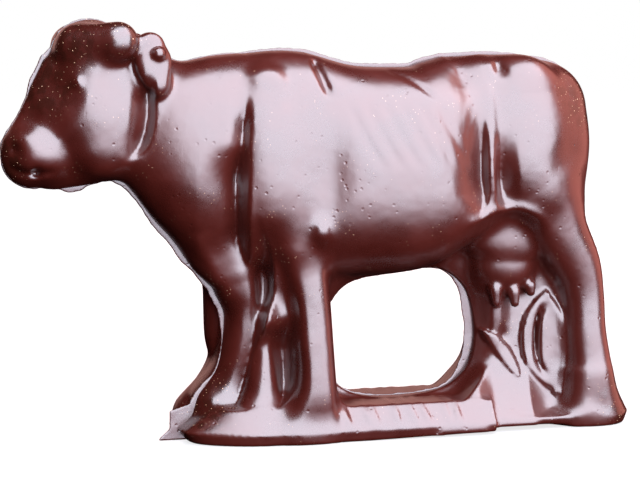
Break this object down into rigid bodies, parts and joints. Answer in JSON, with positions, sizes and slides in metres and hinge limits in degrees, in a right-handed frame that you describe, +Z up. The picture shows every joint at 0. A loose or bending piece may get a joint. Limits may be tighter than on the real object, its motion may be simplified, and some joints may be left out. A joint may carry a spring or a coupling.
{
  "type": "moulded chocolate cow figure",
  "caption": "Moulded chocolate figure of a standing cow on a low grassy base, in one piece, with a web between its legs, an open arch under its belly and a thin seam fin.",
  "frame": {"origin": "on the ground under the middle of the base, in the plane of the mould seam", "axes": "+X from the head to the tail, +Y from the side seen in the picture to the far side, +Z up"},
  "size_m": [0.1303, 0.0362, 0.0837],
  "materials": {
    "cow": "gloss"
  },
  "bodies": {
    "root": {"cow": "cow"}
  },
  "joints": []
}
